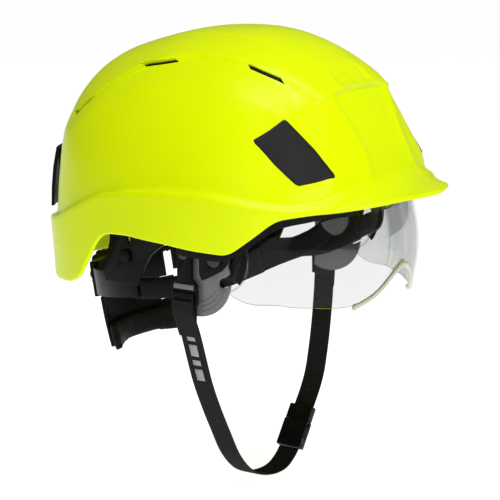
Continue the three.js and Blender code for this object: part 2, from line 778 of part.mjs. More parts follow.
function crownRing() {
  const profile = [[8, -0.9], [16.6, -0.9], [16.6, 0.9], [8, 0.9], [8, -0.9]];
  const geometry = new THREE.LatheGeometry(profile.map(([r, z]) => new THREE.Vector2(r, z)), 24);
  return geometry.rotateX(Math.PI / 2).translate(0, 0, 101.5);
}

function crownPad() {
  const profile = [[0, -7], [26, -9], [30, -5], [27, -1.4], [0, 0]];
  const geometry = new THREE.LatheGeometry(profile.map(([r, z]) => new THREE.Vector2(r, z)), 24);
  return geometry.rotateX(Math.PI / 2).translate(0, 0, 99.6);
}

// ---------------------------------------------------------------- chin strap

// Webbing in the plane of the strap through [y, z] points, closest together in tight turns.
function strapWeb(route, columnsPerSpan) {
  const points = route.map(([y, z]) => point(strap.x, y, z));
  const curve = new THREE.CatmullRomCurve3(points, false, "centripetal");
  const at = (lift) => (u, v) => {
    const along = curve.getTangent(u);
    const outwards = point(0, -along.z, along.y);
    const side = lerp(-strap.width / 2, strap.width / 2, v);
    return curve.getPoint(u).add(point(side, 0, 0)).addScaledVector(outwards, lift);
  };
  const half = strap.thickness / 2;
  return slab(at(half), at(-half), columnsPerSpan * (route.length - 1), 1);
}

// The turn of webbing through an anchor, up one face and down the other.
function anchorTurn(side) {
  const bar = { y: 85.3, z: -13.7, radius: 2.1 };
  const arc = [180, 135, 90, 45, 0].map((degrees) => {
    const [cos, sin] = sideways(degrees);
    return [side * (bar.y + bar.radius * cos), bar.z + bar.radius * sin];
  });
  return [[side * 83.6, -31], [side * 83.3, -20], ...arc];
}

const rightRoute = [
  ...anchorTurn(-1),
  [-86.3, -24], [-79, -41], [-66, -75], [-57, -93], [-46, -112], [-32, -134], [-15, -149],
  [6, -156.4], [25, -157], [35.2, -152.6], [41.3, -147.7],
];
const leftRoute = [
  ...anchorTurn(1),
  [87.3, -27], [86, -46], [82.5, -70], [78.8, -87], [74.6, -101],
  [69.2, -110.9], [61.6, -121.35], [54.25, -131.45],
];

// Places a piece built along +Z, wide in X, at a distance along the buckle's line.
function alongBuckle(geometry) {
  const lean = radians(buckle.lean);
  return geometry.rotateX(-lean).translate(strap.x, buckle.y, buckle.z);
}

function buckleBody() {
  const { width, thickness, length } = buckle;
  const [x, y, z] = [width / 2, thickness / 2, length / 2];
  const body = box(-x, x, -y, y, -z, z);
  const cavity = box(-x + 1.5, x - 1.5, -y + 1.3, y - 1.3, -z + 3, z + 1);
  const sideSlots = box(-x - 1, x + 1, -y + 1.3, 0.25, -2.4, z + 1);
  return alongBuckle(cut(body, cavity, sideSlots));
}

// The tongue's head rides on the webbing, its guide and prongs run below it.
function buckleTongue() {
  const { width, length } = buckle;
  const base = length / 2 + gap;
  const headLength = 11;
  const head = box(0.4 - width / 2, width / 2 - 0.4, -2.8, 2.8, base, base + headLength);
  const webSlot = box(-8.2, 8.2, 0, 1.9, base - 1, base + headLength + 1);
  const guide = box(-3, 3, -1.6, -0.1, -4, base + 1);
  return alongBuckle(join(cut(head, webSlot), guide));
}

function buckleButton(side) {
  const top = buckle.length / 2 - 0.2;
  const prong = box(5, 7, -1.6, -0.1, -4, top);
  const shelf = box(6.6, 8.5, -1.6, -0.1, -1.6, 5.5);
  const button = box(8.1, 9.4, -1.75, -0.05, -1.6, 5.5);
  const geometry = join(prong, shelf, button);
  if (side < 0) geometry.scale(-1, 1, 1).setIndex([...geometry.index.array].reverse());
  return alongBuckle(geometry);
}

// ---------------------------------------------------------------- assembly

add("shell", shell(), hiVis);
add("rim_frame", rimFrame(), blackPlastic);
add("visor_lens", visorLens(), clearPlastic);
add("nose_trim", noseTrim(), beigeRubber);
add("crown_ring", crownRing(), blackPlastic);
add("crown_pad", crownPad(), foam);

bothSides((label, side) => {
  add(`badge_plate_${label}`, wallPatch(badgeCorners(side), -0.6, 1.2, 4, 4), blackPlastic);
  add(`rear_clip_base_${label}`, rearClipBasePlate(side), blackPlastic);
  add(`rear_clip_${label}`, rearClipPlate(side), blackPlastic);
  add(`temple_plate_${label}`, templePlate(side), greyPlastic);
  add(`visor_pin_${label}`, visorPin(side), steel);
  add(`rear_bracket_${label}`, rearBracket(side), blackPlastic);
  add(`bracket_rivet_${label}`, bracketRivet(side), blackPlastic);
  add(`side_hanger_${label}`, sideHanger(side), blackPlastic);
  add(`strap_anchor_${label}`, strapAnchor(side), blackPlastic);
  add(`anchor_pin_${label}`, anchorPin(side), steel);
  add(`cradle_front_${label}`, cradleStrap(side * 68, 70, 30), webbing);
  add(`cradle_rear_${label}`, cradleStrap(side * 118, 82, 18), webbing);
  add(`buckle_button_${label}`, buckleButton(side), blackPlastic);
});

const fitting = new THREE.Group();
fitting.position.z = headband.riseZ;
fitting.rotation.y = -radians(headband.tilt);
root.add(fitting);

add("brow_band", browBand(), blackPlastic, fitting);
add("brow_pad", browPad(), foam, fitting);
add("ratchet_back", ratchetBack(), blackPlastic, fitting);
add("ratchet_cover", ratchetCover(), blackPlastic, fitting);
add("ratchet_pinion", ratchetPinion(), blackPlastic, fitting);
add("ratchet_knob", ratchetKnob(), blackPlastic, fitting);
add("nape_plate", napePlate(), blackPlastic, fitting);
add("nape_pad", napePad(), foam, fitting);
add("pad_stud", padStud(), blackPlastic, fitting);
bothSides((label, side) => {
  add(`side_arm_${label}`, sideArm(side), blackPlastic, fitting);
  add(`front_hanger_${label}`, frontHanger(side), blackPlastic, fitting);
});

add("web_right", strapWeb(rightRoute, 3), webbing);
add("web_left", strapWeb(leftRoute, 3), webbing);
add("buckle_body", buckleBody(), blackPlastic);
add("buckle_tongue", buckleTongue(), blackPlastic);

export default root;
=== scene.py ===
# A vented hard hat with a clear eye shield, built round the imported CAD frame.
# Shapes are worked out in millimetres in the frame's axes and stored in metres.
import json
import math

import bmesh
import bpy
import numpy as np
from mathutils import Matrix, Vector

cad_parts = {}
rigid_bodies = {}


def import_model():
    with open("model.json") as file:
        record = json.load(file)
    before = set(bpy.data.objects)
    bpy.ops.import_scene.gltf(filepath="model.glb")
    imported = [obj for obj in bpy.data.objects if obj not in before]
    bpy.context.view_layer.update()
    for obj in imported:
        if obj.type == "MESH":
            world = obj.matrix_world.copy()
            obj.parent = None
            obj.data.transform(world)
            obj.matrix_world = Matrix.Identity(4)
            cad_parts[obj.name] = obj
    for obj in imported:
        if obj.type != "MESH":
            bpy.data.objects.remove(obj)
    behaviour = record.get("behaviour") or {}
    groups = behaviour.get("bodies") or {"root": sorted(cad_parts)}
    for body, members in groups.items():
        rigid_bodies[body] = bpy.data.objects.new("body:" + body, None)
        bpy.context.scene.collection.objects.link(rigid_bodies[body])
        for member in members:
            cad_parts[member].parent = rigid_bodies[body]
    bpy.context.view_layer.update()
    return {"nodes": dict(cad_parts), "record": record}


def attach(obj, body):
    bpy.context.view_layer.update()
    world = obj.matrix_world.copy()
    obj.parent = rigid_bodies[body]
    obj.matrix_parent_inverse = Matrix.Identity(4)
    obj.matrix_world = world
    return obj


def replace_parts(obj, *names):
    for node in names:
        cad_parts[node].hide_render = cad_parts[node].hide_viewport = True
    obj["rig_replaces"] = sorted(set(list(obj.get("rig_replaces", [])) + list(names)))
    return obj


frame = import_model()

MM = 0.001
SIDES = (("left", 1), ("right", -1))

# ---------------------------------------------------------------- driving sizes

WALL = 2.8
DOME = {"centre_x": 7, "front": 110, "rear": 139, "half_width": 108, "base": 22, "crown": 148.5}
PLAN_POWER = 2.35
SIDE_POWER = 2.5
FRONT_POWER = 2.05
CROWN_LIFT = 3.5
LEDGE_LIFT = 4.5

# Outlines round the helmet: (degrees from the front, distance), where the distance is a radius
# from the dome's centre, or a height in the outlines named so. Many rows are figures that a
# program measured off the photo, rounded.
CROWN_EDGE = (
    (0, 73.6), (12, 74.6), (20, 77.2), (27, 80.6), (34, 76.5), (48, 64.5), (64, 57), (82, 54),
    (101, 56.2), (116, 66), (125, 77.5), (130, 88.5), (134, 100), (140, 111), (152, 118), (180, 120),
)
RISER_FOOT = (
    (0, 74.6), (12, 75.6), (20, 78.4), (27, 82), (33, 83.2), (36, 81.4), (45.5, 71.6), (64, 60.8),
    (81, 57), (98.5, 59.5), (109.5, 66), (125.5, 79), (131, 90), (135.5, 102), (140, 113),
    (145, 121), (160, 124), (180, 125),
)
SHOULDER = (
    (0, 75.6), (12, 76.8), (20, 79.6), (27, 83.2), (35, 85.6), (41, 88.5), (46.5, 92), (53, 86.5),
    (58, 83.6), (69.5, 79), (83, 76.2), (98, 78.2), (109, 84), (118, 91.6), (125, 99.3),
    (134.6, 112), (140, 120), (148, 127), (162, 130), (180, 131),
)
RIM_RADIUS = (
    (0, 135), (12, 130.5), (27, 120.5), (32, 119), (51, 114), (60, 111), (70, 110), (90, 111),
    (105, 113.5), (117, 118), (134, 126.5), (148, 135.5), (165, 145), (180, 149),
)
RIM_HEIGHT = (
    (0, 54.6), (12, 54.2), (27, 50), (40, 46.5), (52, 42.5), (60, 30), (67.5, 19.5), (80, 21.5),
    (90, 24), (105, 26), (114, 25), (118, 21), (124, 4), (129, -10), (136, -15.5), (148, -18.5),
    (180, -18.5),
)
LEDGE_HEIGHT = (
    (0, 60), (20, 58), (30, 54), (38, 49.5), (48, 47.2), (59, 49.8), (74, 55), (91, 55.8),
    (107, 53), (118, 49), (131, 37), (141, 27), (160, 20), (180, 17),
)
LEDGE_BEVEL = (
    (0, 3), (30, 4), (46, 5.2), (59, 5.4), (75, 4.4), (91, 2.8), (105, 2.2), (109, 2), (110, 1),
    (180, 1),
)
# The crown along the middle: (distance forward, how far it sags below the dome's curve).
CROWN_SAG = (
    (-105, -0.6), (-90, -0.4), (-80, 0.6), (-68, 2), (-55, 2.9), (-45, 2.8), (-25, 2.1), (10, 1.9),
    (35, 2.4), (60, 2), (80, 0.6),
)
PLATEAU_EDGE = ((-70, 30), (46, 28.5), (61, 23), (70, 18))  # (distance forward, half width)
# Lifts off the dome round the helmet: (degrees from the front, lift).
CROWN_EDGE_LIFT = (
    (0, 2.6), (27, 4.2), (33, 4.2), (42, CROWN_LIFT), (118, CROWN_LIFT), (138, 2.2), (180, 2),
)
RISER_FOOT_LIFT = ((0, 2.5), (22, 3.2), (28, 4.2), (34, 1.4), (42, -0.3))
SHOULDER_LIFT = ((20, 3.2), (28, 4.4), (36, 3.4), (48, 2), (62, 1.5), (120, 1.5), (180, 0.4))
# Lifts off the dome up the wall: (height, lift).
FRONT_LIFT = ((54, 0), (62, 0), (76, -1.5), (90, -2.2), (104, -1.2), (113, 0.9), (119, 2.4))
REAR_LIFT = ((24, 0), (34, -0.8), (56, -0.8), (74, 0.6), (94, 2.4), (116, 2.6), (132, 1.2))
# The front panel's ridge and its outer corner: (height, degrees from the front).
PANEL_RIDGE = ((58, 17.5), (78, 15.5), (90, 17.5), (102, 21), (118, 27))
PANEL_CORNER = ((55, 27), (67, 33), (102, 47), (112, 50))
VENTS = ((45.5, 63.5), (109.5, 125.5), (138.5, 146.5))
VENT_HALF_HEIGHT = 1.3
VENT_RISE = 1  # the slits sit this far above the foot of the riser


# ---------------------------------------------------------------- numbers

def lerp(a, b, t):
    return a + (b - a) * t


def smoothstep(x, low, high):
    t = np.clip((x - low) / (high - low), 0, 1)
    return t * t * (3 - 2 * t)


def profile_at(profile, x):
    """The profile's value at x, in straight lines between its points."""
    keys, values = zip(*profile)
    return np.interp(x, keys, values)


def outline_at(outline, degrees, soften=2.2):
    """The outline's value at an angle, the same on both sides of the helmet."""
    steps = np.linspace(-soften, soften, 5)
    folded = [180 - np.abs(180 - np.abs(degrees + step) % 360) for step in steps]
    return sum(profile_at(outline, angle) for angle in folded) / len(steps)


def curve_through(points, count):
    """Evenly spaced points on a smooth curve through a few points."""
    knots = np.array(points, float)
    gaps = np.linalg.norm(np.diff(knots, axis=0), axis=1) ** 0.5
    at = np.concatenate([[0], np.cumsum(gaps)])
    slopes = np.gradient(knots, at, axis=0)
    fine = np.linspace(0, at[-1], count * 8)
    k = np.clip(np.searchsorted(at, fine, side="right") - 1, 0, len(at) - 2)
    h = (at[k + 1] - at[k])[:, None]
    t = (fine - at[k])[:, None] / h
    p, q = knots[k], knots[k + 1]
    mp, mq = slopes[k] * h, slopes[k + 1] * h
    line = (2 * t**3 - 3 * t**2 + 1) * p + (t**3 - 2 * t**2 + t) * mp
    line = line + (-2 * t**3 + 3 * t**2) * q + (t**3 - t**2) * mq
    run = np.concatenate([[0], np.cumsum(np.linalg.norm(np.diff(line, axis=0), axis=1))])
    even = np.linspace(0, run[-1], count)
    return np.stack([np.interp(even, run, line[:, i]) for i in range(line.shape[1])], axis=1)


def unit(v):
    return v / np.maximum(np.linalg.norm(v, axis=-1, keepdims=True), 1e-9)


# ---------------------------------------------------------------- meshes

def new_object(name, vertices, faces):
    """A mesh object from points in millimetres."""
    mesh = bpy.data.meshes.new(name)
    mesh.from_pydata((np.asarray(vertices, float).reshape(-1, 3) * MM).tolist(), [], faces)
    mesh.update()
    obj = bpy.data.objects.new(name, mesh)
    bpy.context.scene.collection.objects.link(obj)
    tidy(obj)
    mesh.polygons.foreach_set("use_smooth", [True] * len(mesh.polygons))
    return obj


def tidy(obj, merge=1e-6):
    """Merges doubled points and turns every face outwards."""
    bm = bmesh.new()
    bm.from_mesh(obj.data)
    bmesh.ops.remove_doubles(bm, verts=bm.verts, dist=merge)
    bmesh.ops.recalc_face_normals(bm, faces=bm.faces)
    bm.to_mesh(obj.data)
    bm.free()


def grid_faces(columns, rows, closed_u=False, closed_v=False):
    """Quads over a grid of points stored column by column."""
    faces = []
    for i in range(columns if closed_u else columns - 1):
        for j in range(rows if closed_v else rows - 1):
            i2, j2 = (i + 1) % columns, (j + 1) % rows
            corners = ((i, j), (i2, j), (i2, j2), (i, j2))
            faces.append([column * rows + row for column, row in corners])
    return faces


def capped_tube(name, loops):
    """A solid through closed cross-sections: loops is (sections, points, 3)."""
    loops = np.asarray(loops, float)
    sections, count = loops.shape[:2]
    faces = grid_faces(sections, count, closed_v=True)
    faces.append(list(range(count)))
    faces.append([(sections - 1) * count + j for j in reversed(range(count))])
    return new_object(name, loops, faces)


def slab(name, outer, inner):
    """A closed solid between two grids of points of the same size."""
    around = np.concatenate([outer, inner[:, ::-1]], axis=1)
    sections, count = around.shape[:2]
    faces = grid_faces(sections, count, closed_v=True)
    for i in (0, sections - 1):
        for j in range(outer.shape[1] - 1):
            a, b = i * count + j, i * count + count - 1 - j
            faces.append([a, a + 1, b - 1, b])
    return new_object(name, around, faces)


def mark_sharp(obj, degrees=35):
    mesh = obj.data
    mesh.polygons.foreach_set("use_smooth", [True] * len(mesh.polygons))
    mesh.set_sharp_from_angle(angle=math.radians(degrees))


def bevel(obj, width, segments=2, degrees=40):
    """Rounds the piece's sharp edges by a width in millimetres."""
    modifier = obj.modifiers.new("rounded", "BEVEL")
    modifier.width = width * MM
    modifier.segments = segments
    modifier.limit_method = "ANGLE"
    modifier.angle_limit = math.radians(degrees)
    modifier.use_clamp_overlap = True


def apply_modifiers(obj):
    depsgraph = bpy.context.evaluated_depsgraph_get()
    mesh = bpy.data.meshes.new_from_object(obj.evaluated_get(depsgraph))
    obj.modifiers.clear()
    obj.data = mesh


def refined(node, width=0.4, degrees=38):
    """A copy of a CAD node with its sharp edges rounded, to stand in for it."""
    obj = bpy.data.objects.new(node + "_fine", frame["nodes"][node].data.copy())
    bpy.context.scene.collection.objects.link(obj)
    bm = bmesh.new()
    bm.from_mesh(obj.data)
    bmesh.ops.remove_doubles(bm, verts=bm.verts, dist=2e-5)
    bmesh.ops.dissolve_limit(bm, angle_limit=math.radians(1.5), verts=bm.verts, edges=bm.edges)
    bm.to_mesh(obj.data)
    bm.free()
    bevel(obj, width, degrees=degrees)
    apply_modifiers(obj)
    mark_sharp(obj, degrees)
    return obj


def finish_piece(obj, body, material, slot, *nodes):
    """Gives a piece its material, says what it stands for, and lets it ride."""
    obj.data.materials.clear()
    obj.data.materials.append(material)
    for polygon in obj.data.polygons:
        polygon.material_index = 0
    if nodes:
        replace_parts(obj, *nodes)
    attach(obj, body)


# ---------------------------------------------------------------- shell surface

def sideways(degrees):
    return np.cos(np.radians(degrees)), np.sin(np.radians(degrees))


def plan_radius(cos, sin):
    reach = np.where(cos < 0, DOME["rear"], DOME["front"])
    total = np.abs(cos / reach) ** PLAN_POWER + np.abs(sin / DOME["half_width"]) ** PLAN_POWER
    return total ** (-1 / PLAN_POWER)


def profile_power(cos):
    return lerp(SIDE_POWER, FRONT_POWER, smoothstep(cos, -1, 1))


def dome_gauge(p):
    dx, dy = p[..., 0] - DOME["centre_x"], p[..., 1]
    distance = np.maximum(np.hypot(dx, dy), 1e-9)
    power = profile_power(dx / distance)
    across = distance / plan_radius(dx / distance, dy / distance)
    up = np.maximum(0, (p[..., 2] - DOME["base"]) / (DOME["crown"] - DOME["base"]))
    return across**power + up**power


def lift_off(p, lift):
    """Moves points of the dome along its normal."""
    step = 0.01
    slope = np.stack(
        [dome_gauge(p + step * axis) - dome_gauge(p - step * axis) for axis in np.eye(3)], axis=-1
    )
    return p + unit(slope) * np.asarray(lift)[..., None]


def dome_point(degrees, share, lift):
    cos, sin = sideways(degrees)
    radius = plan_radius(cos, sin) * share
    power = profile_power(cos)
    rise = np.maximum(0, 1 - np.minimum(share, 1) ** power) ** (1 / power)
    z = DOME["base"] + (DOME["crown"] - DOME["base"]) * rise
    p = np.stack([DOME["centre_x"] + radius * cos, radius * sin, z + 0 * radius], axis=-1)
    return lift_off(p, lift + 0 * radius)


def share_at_height(degrees, z):
    power = profile_power(sideways(degrees)[0])
    rise = np.maximum(0, (z - DOME["base"]) / (DOME["crown"] - DOME["base"]))
    return (1 - rise**power) ** (1 / power)


def wall_point(degrees, z, lift):
    """A point of the wall at a height; below the dome's base it goes straight down."""
    p = dome_point(degrees, share_at_height(degrees, z), lift)
    p[..., 2] += np.minimum(0, z - DOME["base"])
    return p


def share_of(outline, degrees):
    return outline_at(outline, degrees) / plan_radius(*sideways(degrees))


def share_between(degrees, start, end, t):
    """Spreads rows evenly along the curved wall rather than along its plan radius."""
    power = profile_power(sideways(degrees)[0])
    climb = lerp(climb_angle(degrees, start), climb_angle(degrees, end), t)
    return np.cos(climb) ** (2 / power)


def peakness(degrees):
    """How far the peak has taken over from the belt: 1 in front, 0 at the sides."""
    return 1 - smoothstep(np.abs(degrees), 25, 50)


def front_facets(degrees, z):
    """Lift of the skirt's flat front panel, the ridges beside it and the next facet."""
    away = np.abs(degrees)
    ridge, corner = profile_at(PANEL_RIDGE, z), profile_at(PANEL_CORNER, z)
    panel = -1.7 * (1 - (away / ridge) ** 2)
    middle, half = (corner + ridge) / 2, (corner - ridge) / 2
    facet = -1.6 * (1 - ((away - middle) / half) ** 2)
    flat = np.where(away < ridge, panel, np.where(away < corner, facet, 0))
    kink = 0.9 * np.exp(-(((away - ridge) / 3.2) ** 2))
    temple = -2.3 * smoothstep(away, 31, 42) * (1 - smoothstep(away, 50, 62)) * (1 - smoothstep(z, 98, 112))
    brow_corner = 2.4 * np.exp(-(((away - 28) / 7) ** 2)) * (1 - smoothstep(z, 112, 122))
    return (flat + kink + temple + brow_corner) * smoothstep(z, 56, 72)


def front_profile(degrees, z):
    """The front wall is flatter up and down than the dome, and ends in a corner on top."""
    return profile_at(FRONT_LIFT, z) * (1 - smoothstep(np.abs(degrees), 30, 50))


def rear_profile(degrees, z):
    """The back swells out near its shoulder and is drawn in behind the clips."""
    return profile_at(REAR_LIFT, z) * smoothstep(np.abs(degrees), 122, 146)


def crown_lift(p, degrees, t):
    """Lift above the dome of the crown: its plateau and the scoop in front of it."""
    edge = profile_at(CROWN_EDGE_LIFT, np.abs(degrees))
    lift = lerp(edge, CROWN_LIFT, np.clip(t * 2.5, 0, 1))
    x, y = p[..., 0], np.abs(p[..., 1])
    lift = lift - profile_at(CROWN_SAG, x) * (1 - smoothstep(y, 50, 75))
    plateau = (1 - smoothstep(y - profile_at(PLATEAU_EDGE, x), -2.2, 2.2)) * smoothstep(x, -75, -25)
    scoop = (1 - smoothstep(y, 16.5, 19)) * smoothstep(x, 68.5, 70.5) * (1 - smoothstep(x, 78.6, 80.4))
    return lift + 0.6 * plateau * (1 - smoothstep(x, 70, 80)) - 1.5 * scoop


def rim_point(degrees, inset):
    peak = peakness(degrees)
    radius = outline_at(RIM_RADIUS, degrees) - inset * (1 - peak)
    cos, sin = sideways(degrees)
    z = outline_at(RIM_HEIGHT, degrees) - inset * peak
    return np.stack([DOME["centre_x"] + radius * cos, radius * sin, z], axis=-1)


def shell_rows(degrees, inset):
    """The shell's surface: for each angle, a row of points from the rim up to the crown."""
    ledge = outline_at(LEDGE_HEIGHT, degrees)
    ledge_share = share_at_height(degrees, ledge_top(degrees))
    shoulder, foot, edge = (share_of(o, degrees) for o in (SHOULDER, RISER_FOOT, CROWN_EDGE))
    peak = peakness(degrees)[:, None]

    rim = rim_point(degrees, inset)
    outer = wall_point(degrees, ledge, LEDGE_LIFT - inset)
    root = lerp(rim, outer, 0.5)
    flare = lerp(rim, outer, 0.66)
    flare[:, 2] = lerp(rim, outer, 0.3)[:, 2]
    control = lerp(root, flare, peak)
    rows = [(1 - t) ** 2 * rim + 2 * t * (1 - t) * control + t**2 * outer for t in np.linspace(0, 1, 13)]

    inner = skirt_point(degrees, ledge_share, shoulder, 0, inset)
    rows += [lerp(outer, inner, t) for t in (0.25, 0.5, 0.75)]
    rows += [skirt_point(degrees, ledge_share, shoulder, t, inset) for t in np.linspace(0, 1, 34)]

    # The riser starts at the wall's own lift. The swell at the back is added row by row.
    swell = rear_profile(degrees, dome_point(degrees, shoulder, 0)[..., 2])
    low = wall_shape(degrees, shoulder, ledge_share, shoulder) - swell
    high = profile_at(RISER_FOOT_LIFT, np.abs(degrees))
    for t in np.linspace(0, 1, 9)[1:]:
        share = share_between(degrees, shoulder, foot, t)
        back = rear_profile(degrees, dome_point(degrees, share, 0)[..., 2])
        rows.append(dome_point(degrees, share, lerp(low, high, t) + back - inset))
    raised = crown_lift(dome_point(degrees, edge, 0), degrees, 0)
    for t in np.linspace(0, 1, 6)[1:-1]:
        share = share_between(degrees, foot, edge, t)
        back = (1 - t) * rear_profile(degrees, dome_point(degrees, share, 0)[..., 2])
        rows.append(dome_point(degrees, share, lerp(high, raised, t) + back - inset))
    for t in np.linspace(0, 1, 40):
        share = share_between(degrees, edge, 0.004 + 0 * edge, t)
        lift = crown_lift(dome_point(degrees, share, 0), degrees, t)
        rows.append(dome_point(degrees, share, lift - inset))
    return np.stack(rows, axis=1)


def skirt_point(degrees, low, high, t, inset):
    """A point of the wall between the ledge (t = 0) and the shoulder's edge (t = 1)."""
    share = share_between(degrees, low, high, t)
    return dome_point(degrees, share, wall_shape(degrees, share, low, high) - inset)


def climb_angle(degrees, share):
    """How far up the dome's curve a point is, from 0 at the base to a quarter turn."""
    return np.arccos(np.minimum(1, share) ** (profile_power(sideways(degrees)[0]) / 2))


def wall_shape(degrees, share, low, high):
    """Lift of the wall off the dome between the shares low (ledge) and high (shoulder)."""
    z = dome_point(degrees, share, 0)[..., 2]
    start, end = climb_angle(degrees, low), climb_angle(degrees, high)
    t = np.clip((climb_angle(degrees, share) - start) / (end - start), 0, 1)
    away = np.abs(degrees)
    side = profile_at(SHOULDER_LIFT, away) * t**2 * smoothstep(away, 26, 50)
    return front_profile(degrees, z) + front_facets(degrees, z) + rear_profile(degrees, z) + side


def ledge_top(degrees):
    return outline_at(LEDGE_HEIGHT, degrees) + outline_at(LEDGE_BEVEL, degrees, soften=0.4)


def soften_rows(rows, passes=1):
    """Rounds the creases a little by averaging along each column."""
    for _ in range(passes):
        rows[:, 1:-1] = 0.25 * rows[:, :-2] + 0.5 * rows[:, 1:-1] + 0.25 * rows[:, 2:]
    return rows


def round_rim(outer, inner, radius=1.2, steps=5):
    """Outer and inner rows joined round a full edge, with the rim no lower than before."""
    up = unit(outer[:, 1] - outer[:, 0])
    outer[:, 0] += up * radius
    inner[:, 0] += up * radius
    middle, half = (outer[:, 0] + inner[:, 0]) / 2, (outer[:, 0] - inner[:, 0]) / 2
    turn = np.linspace(0, np.pi, steps + 2)[1:-1]
    nose = [middle + half * math.cos(a) - up * radius * math.sin(a) for a in turn]
    return np.concatenate([outer[:, ::-1], np.stack(nose, axis=1), inner], axis=1)


def vent_block(name, side, start, end, half_height, high, low):
    """A slanted block along the foot of the riser, between two lifts off the dome."""
    def plan(degrees):
        cos, sin = sideways(degrees)
        return outline_at(RISER_FOOT, degrees) * np.array([cos, sin])

    def corner(degrees, across, lift):
        along = unit(plan(degrees + 0.5) - plan(degrees - 0.5))
        p = plan(degrees) + np.array([along[1], -along[0]]) * (across - VENT_RISE)
        angle = math.degrees(math.atan2(p[1], p[0]))
        share = math.hypot(*p) / plan_radius(*sideways(angle))
        return dome_point(np.array(side * angle), np.array(share), lift)

    slant = 1.3
    sections = []
    for degrees in np.linspace(start, end, 7):
        loop = []
        for across, lift in ((-1, high), (1, high), (1, low), (-1, low)):
            loop.append(corner(degrees - slant * across, across * half_height, lift))
        sections.append(loop)
    return capped_tube(name, sections)


def cut_away(obj, cutters):
    """Subtracts pieces from obj and removes them."""
    for cutter in cutters:
        modifier = obj.modifiers.new("cut", "BOOLEAN")
        modifier.operation = "DIFFERENCE"
        modifier.solver = "EXACT"
        modifier.object = cutter
    apply_modifiers(obj)
    for cutter in cutters:
        bpy.data.objects.remove(cutter)


def make_shell():
    degrees = np.linspace(-180, 180, 361)[:-1]
    outer = soften_rows(shell_rows(degrees, 0))
    inner = soften_rows(shell_rows(degrees, WALL), 3)
    around = round_rim(outer, inner)
    sections, count = around.shape[:2]
    faces = grid_faces(sections, count, closed_u=True)
    faces.append([i * count for i in range(sections)])
    faces.append([i * count + count - 1 for i in reversed(range(sections))])
    shell = new_object("shell_moulding", around, faces)
    slits = [(side, *span) for _, side in SIDES for span in VENTS]
    cut_away(shell, [vent_block("slit", *slit, VENT_HALF_HEIGHT, 8, -8) for slit in slits])
    mark_sharp(shell, 50)
    return shell


def patch(corners, u, v, lift):
    """A point of the wall inside four (degrees, height) corners."""
    low_a, low_b, high_b, high_a = (np.array(c, float) for c in corners)
    at = lerp(lerp(low_a, low_b, u), lerp(high_a, high_b, u), v)
    at[0] -= np.sign(at[0]) * 2.4 * math.sin(math.pi * min(1, max(0, v))) * u
    degrees, z = np.array([at[0]]), np.array([at[1]])
    share, low = share_at_height(degrees, z), share_at_height(degrees, ledge_top(degrees))
    shape = wall_shape(degrees, share, low, share_of(SHOULDER, degrees))
    return wall_point(degrees, z, shape + lift)[0]


def rounded_square(radius, steps=5, half=0.5):
    """Points round a square from 0 to 1 with rounded corners."""
    points = []
    for sx, sy, start in ((1, 1, 0), (-1, 1, 90), (-1, -1, 180), (1, -1, 270)):
        for k in range(steps + 1):
            a = math.radians(start + 90 * k / steps)
            x = sx * (half - radius) + radius * math.cos(a)
            y = sy * (half - radius) + radius * math.sin(a)
            points.append((0.5 + x, 0.5 + y))
    return points


def crowned_plate(name, surface, outline, profile):
    """A plate on a surface: rings of its outline, shrunk and lifted as the profile says."""
    rings = []
    for shrink, lift in profile:
        shrunk = [(0.5 + (u - 0.5) * shrink, 0.5 + (v - 0.5) * shrink) for u, v in outline]
        rings.append([surface(u, v, lift) for u, v in shrunk])
    return capped_tube(name, rings)


# The badge's corners (degrees from the front, height), and how its rim rolls over into its
# face: how far the outline shrinks, and the lift off the shell.
BADGE_CORNERS = ((44.6, 63.4), (31, 67), (47, 102.6), (59.6, 90.2))
BADGE_RIM = ((1, -0.8), (1, 0.1), (0.985, 0.32), (0.955, 0.44))
BADGE_FACE = tuple((shrink, 0.45) for shrink in (0.85, 0.6, 0.3, 0.02))


def make_badge(label, side):
    """The black plate let into the temple, proud of the shell by half a millimetre."""
    corners = [(side * degrees, z) for degrees, z in BADGE_CORNERS]
    square = rounded_square(0.06)
    halfway = [((a[0] + b[0]) / 2, (a[1] + b[1]) / 2) for a, b in zip(square, square[1:] + square[:1])]
    outline = [corner for pair in zip(square, halfway) for corner in pair]

    def surface(u, v, lift):
        return patch(corners, u, v, lift)

    return crowned_plate("badge_" + label, surface, outline, BADGE_RIM + BADGE_FACE)


# ---------------------------------------------------------------- eye shield

PIVOT = (28, 12)
HUB = {"radius": 23, "inner": 78.6, "outer": 80.1}
LENS = {"reach": 90, "half_width": 82.4, "thickness": 1.8, "sweep": 76}
LENS_LOWER = ((0, 2), (8, 6.5), (16, 14.5), (28, 22.5), (45, 27.5), (60, 37), (76, 74), (180, 74))
LENS_UPPER = ((0, 24), (40, 27), (60, 36), (76, 50), (180, 50))


def lens_point(turn, climb, inset):
    cos, sin = sideways(turn)
    ahead, up = sideways(climb)
    reach = (LENS["reach"] - inset) * cos
    y = (LENS["half_width"] - inset) * sin + 0 * climb
    return np.stack([PIVOT[0] + reach * ahead, y, PIVOT[1] + reach * up], axis=-1)


def lens_low(turn):
    return -outline_at(LENS_LOWER, turn, soften=3)


def make_hub(label, side):
    """The clear disc at each end of the eye shield, round its pivot."""
    loops = []
    cos, sin = sideways(np.arange(0, 360, 4))
    x, z = PIVOT[0] + HUB["radius"] * cos, PIVOT[1] + HUB["radius"] * sin
    for y in (HUB["inner"], HUB["outer"]):
        loops.append(np.stack([x, side * y + 0 * x, z], axis=-1))
    hub = capped_tube("visor_hub_" + label, loops)
    bevel(hub, 0.4, 2)
    apply_modifiers(hub)
    mark_sharp(hub)
    return hub


